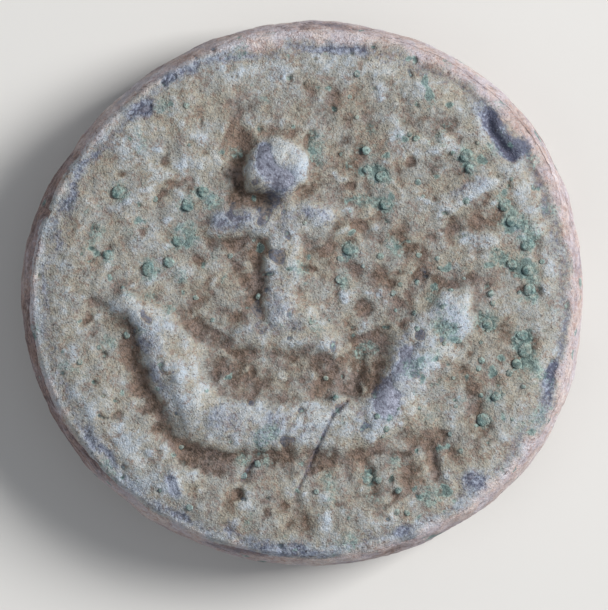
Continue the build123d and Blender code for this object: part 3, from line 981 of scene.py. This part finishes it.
def makeTokenMetal():
    # the struck metal: two faces bridged by the bulging edge
    bm = bmesh.new()
    bmesh.ops.create_grid(bm, x_segments=metalPiece["cells"], y_segments=metalPiece["cells"], size=1.0)
    copied = bmesh.ops.duplicate(bm, geom=bm.verts[:] + bm.edges[:] + bm.faces[:])["geom"]
    lowVerts = [g for g in copied if isinstance(g, bmesh.types.BMVert)]
    lowFaces = [g for g in copied if isinstance(g, bmesh.types.BMFace)]
    bmesh.ops.translate(bm, verts=lowVerts, vec=(0, 0, -1))
    bmesh.ops.reverse_faces(bm, faces=lowFaces)
    rims = [e for e in bm.edges if e.is_boundary]
    posts = bmesh.ops.bridge_loops(bm, edges=rims)["edges"]
    bmesh.ops.subdivide_edges(bm, edges=posts, cuts=metalPiece["wallCuts"], use_grid_fill=True)
    bmesh.ops.recalc_face_normals(bm, faces=bm.faces)
    piece = newPiece("tokenMetal", bm, metalMaterial, "patinated_metal", "token_body")
    mesh = piece.data
    flat = meshPlaces(mesh)
    up = 1 + flat[:, 2]      # 1 on the anchor side, 0 on the back, between them on the wall
    height = tuckLow + (tuckHigh - tuckLow) * up
    x, y, share = discPlaces(flat[:, 0], flat[:, 1], height)
    turn, row = turnOf(x, y), wallRow(height)
    onTop, onBack = up > 1 - metalPiece["endShare"], up < metalPiece["endShare"]
    inset = readWall(wallMetal, turn, row) - readWall(wallRadius, turn, row)
    inset = inset * smoothStep(metalPiece["border"], 1.0, share) / np.maximum(np.hypot(x, y), smallest)
    x, y = x * (1 + inset), y * (1 + inset)
    height = np.where(onTop, readMap(topMetal, x, y), height)
    height = np.where(onBack, readMap(backMetal, x, y), height)
    placeMesh(mesh, x, y, height)
    for name, values in wallMaps.items():
        values = readWall(values, turn, row)
        values = np.where(onBack, readMap(backMaps[name], x, y), values)
        paint(mesh, name, np.where(onTop, readMap(topMaps[name], x, y), values))


limePiece = {
    "profile": 72, "steps": 720, "highest": 3.20, "lowest": 0.22, "thickness": 0.35,
    "skinShare": 0.72,           # share of the profile that faces outwards
    "turnIn": 0.35,              # how soon the rest has turned in to its full thickness
    "tuck": 0.09, "tuckShares": (0.84, 0.97),      # how deep it goes under the sheets, and where
}


def makeEdgeLime():
    # the skin round the edge: a ring spun from a closed profile
    bm = bmesh.new()
    bmesh.ops.create_circle(bm, segments=limePiece["profile"], radius=0.1)
    bmesh.ops.rotate(bm, verts=bm.verts, matrix=Matrix.Rotation(math.pi / 2, 3, "X"))
    bmesh.ops.translate(bm, verts=bm.verts, vec=(1, 0, 0))
    bmesh.ops.spin(
        bm, geom=bm.verts[:] + bm.edges[:], cent=(0, 0, 0), axis=(0, 0, 1),
        angle=math.tau, steps=limePiece["steps"], use_merge=True,
    )
    bmesh.ops.remove_doubles(bm, verts=bm.verts, dist=1e-5)
    bmesh.ops.recalc_face_normals(bm, faces=bm.faces)
    piece = newPiece("edgeLime", bm, limeMaterial, "lime_crust", "edge_lime")
    mesh = piece.data
    ring = meshPlaces(mesh)
    turn = turnOf(ring[:, 0], ring[:, 1])
    outward = np.hypot(ring[:, 0], ring[:, 1]) - 1
    around = np.arctan2(ring[:, 2], outward) / math.pi      # -1 to 1 round the profile
    skin = np.clip(around / limePiece["skinShare"], -1, 1)
    inner = smoothStep(limePiece["skinShare"], 1.0, np.abs(around))
    middle = 0.5 * (limePiece["highest"] + limePiece["lowest"])
    half = 0.5 * (limePiece["highest"] - limePiece["lowest"])
    height = (middle + half * skin * (1 - inner)) * mm
    row = wallRow(height)
    depth = limePiece["tuck"] * smoothStep(*limePiece["tuckShares"], np.abs(skin))
    depth = depth + limePiece["thickness"] * smoothStep(0.0, limePiece["turnIn"], inner)
    radius = readWall(wallCrust, turn, row) - depth * mm
    placeMesh(mesh, radius * np.cos(math.tau * turn), radius * np.sin(math.tau * turn), height)
    for name, values in wallMaps.items():
        paint(mesh, name, readWall(values, turn, row))


nodulePiece = {
    "seed": 5,
    "count": 110,                # with the grains strewn between the nodules
    "xRange": (-7.4, 7.8), "yRange": (-7.4, 7.4), "reach": 7.9,
    "grainRadius": (0.05, 0.11),
    "subdivisions": 3, "grainSubdivisions": 2,
    "lobes": 5, "lobeReach": (-0.34, 0.30),
    "squash": 0.33, "ragged": 0.50, "spread": 1.20,
    "dimple": 0.22, "dimpleWidth": 0.42,
    "lift": 0.10,                # share of the radius that the middle stands above the ground
    "leftShare": 0.15, "thickens": (-3.0, 6.0),      # fewer grains on the left, and where they thicken
    "relief": (0.66, -0.24), "cavity": (0.45, 0.50),      # at the ground, and the height for a full turn
    "green": 0.5,
    "foot": 0.85, "footHeights": (0.02, 0.11),      # soil colour at its foot, and where that ends
}


def makeNodules():
    # the green nodules, and smaller ones strewn between them, more to the right
    dice = np.random.default_rng(nodulePiece["seed"])
    spots = [(x, y, r, nodulePiece["subdivisions"]) for x, y, r in noduleIslands()]
    while len(spots) < nodulePiece["count"]:
        x = dice.uniform(*nodulePiece["xRange"]) * mm
        y = dice.uniform(*nodulePiece["yRange"]) * mm
        radius = dice.uniform(*nodulePiece["grainRadius"]) * mm
        thickening = smoothStep(*nodulePiece["thickens"], x / mm)
        keep = dice.uniform() < nodulePiece["leftShare"] + (1 - nodulePiece["leftShare"]) * thickening
        if keep and math.hypot(x, y) < nodulePiece["reach"] * mm:
            spots.append((x, y, radius, nodulePiece["grainSubdivisions"]))
    bm = bmesh.new()
    for x, y, radius, subdivisions in spots:
        ground = float(readMap(topCrust, np.array([x]), np.array([y]))[0])
        size = radius * nodulePiece["spread"]
        made = bmesh.ops.create_icosphere(bm, subdivisions=subdivisions, radius=size)["verts"]
        lobes = [
            (Vector(dice.normal(size=3)).normalized(), dice.uniform(*nodulePiece["lobeReach"]))
            for _ in range(nodulePiece["lobes"])
        ]
        for vert in made:
            way = vert.co.normalized()
            swell = sum(reach * max(way.dot(lobe), 0) ** 2 for lobe, reach in lobes)
            wobble = dice.uniform(-0.5, 0.5) * nodulePiece["ragged"]
            vert.co = vert.co * (1 + swell + wobble)
            vert.co.z *= nodulePiece["squash"]
            outward = math.hypot(vert.co.x, vert.co.y) / (nodulePiece["dimpleWidth"] * radius)
            sunk = math.exp(-outward ** 2)
            vert.co.z -= nodulePiece["dimple"] * radius * sunk * (vert.co.z > 0)
        for _ in range(subdivisions - 1):
            bmesh.ops.smooth_vert(
                bm, verts=made, factor=0.5, use_axis_x=True, use_axis_y=True, use_axis_z=True,
            )
        bmesh.ops.translate(bm, verts=made, vec=(x, y, ground + nodulePiece["lift"] * radius))
    piece = newPiece("verdigrisNodules", bm, greenMaterial, "verdigris", "verdigris_nodules")
    mesh = piece.data
    places = meshPlaces(mesh)
    above = (places[:, 2] - readMap(topCrust, places[:, 0], places[:, 1])) / mm
    for name in ("relief", "cavity"):
        level, turnHeight = nodulePiece[name]
        paint(mesh, name, np.clip(level + above / turnHeight, 0, 1))
    paint(mesh, "slate", readMap(slate, places[:, 0], places[:, 1]))
    paint(mesh, "green", np.full(len(places), nodulePiece["green"]))
    foot = 1 - smoothStep(*nodulePiece["footHeights"], above)
    paint(mesh, "skin", nodulePiece["foot"] * foot)


makeObverseSoil()
makeReverseSoil()
makeTokenMetal()
makeEdgeLime()
makeNodules()
print("made the pieces")


# Floor, light and camera

studio = {
    "floorSize": 0.6, "floorColour": (205, 204, 202), "sky": (0.80, 0.84, 0.90), "skyStrength": 0.32,
    "keyPlace": (0.250, 0.085, 0.190), "keySize": 0.14, "keyPower": 1.72, "keyColour": (1.0, 0.985, 0.96),
    "fillPlace": (-0.20, -0.12, 0.28), "fillSize": 0.30, "fillPower": 0.20,
}


def areaLight(name, place, size, power, colour=(1, 1, 1)):
    light = bpy.data.lights.new(name, "AREA")
    light.size = size
    light.energy = power
    light.color = colour
    lamp = bpy.data.objects.new(name, light)
    bpy.context.scene.collection.objects.link(lamp)
    lamp.location = place
    lamp.rotation_euler = (-Vector(place)).to_track_quat("-Z", "Y").to_euler()


def makeStudio():
    bm = bmesh.new()
    bmesh.ops.create_grid(bm, x_segments=1, y_segments=1, size=studio["floorSize"])
    mesh = bpy.data.meshes.new("floor")
    bm.to_mesh(mesh)
    bm.free()
    floor = bpy.data.objects.new("floor", mesh)
    bpy.context.scene.collection.objects.link(floor)
    material, *_, shader = startMaterial("palePaper")
    shader.inputs["Base Color"].default_value = paintColour(*studio["floorColour"])
    shader.inputs["Roughness"].default_value = 0.9
    mesh.materials.append(material)
    world = bpy.data.worlds.new("studio")
    bpy.context.scene.world = world
    world.use_nodes = True
    background = world.node_tree.nodes["Background"]
    background.inputs["Color"].default_value = (*studio["sky"], 1)
    background.inputs["Strength"].default_value = studio["skyStrength"]
    areaLight("key", studio["keyPlace"], studio["keySize"], studio["keyPower"], studio["keyColour"])
    areaLight("fill", studio["fillPlace"], studio["fillSize"], studio["fillPower"])
    bpy.context.scene.view_settings.view_transform = "Standard"


cameraView = {"aim": (0.03 * mm, -0.36 * mm), "height": 0.200, "lens": 359.0, "sensor": 36.0}


def makeCamera():
    camera = bpy.data.cameras.new("camera")
    camera.lens = cameraView["lens"]
    camera.sensor_width = cameraView["sensor"]
    camera.clip_start = 0.001
    holder = bpy.data.objects.new("camera", camera)
    bpy.context.scene.collection.objects.link(holder)
    holder.location = (*cameraView["aim"], cameraView["height"])
    bpy.context.scene.camera = holder


makeStudio()
makeCamera()
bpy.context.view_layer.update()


print("set the studio")
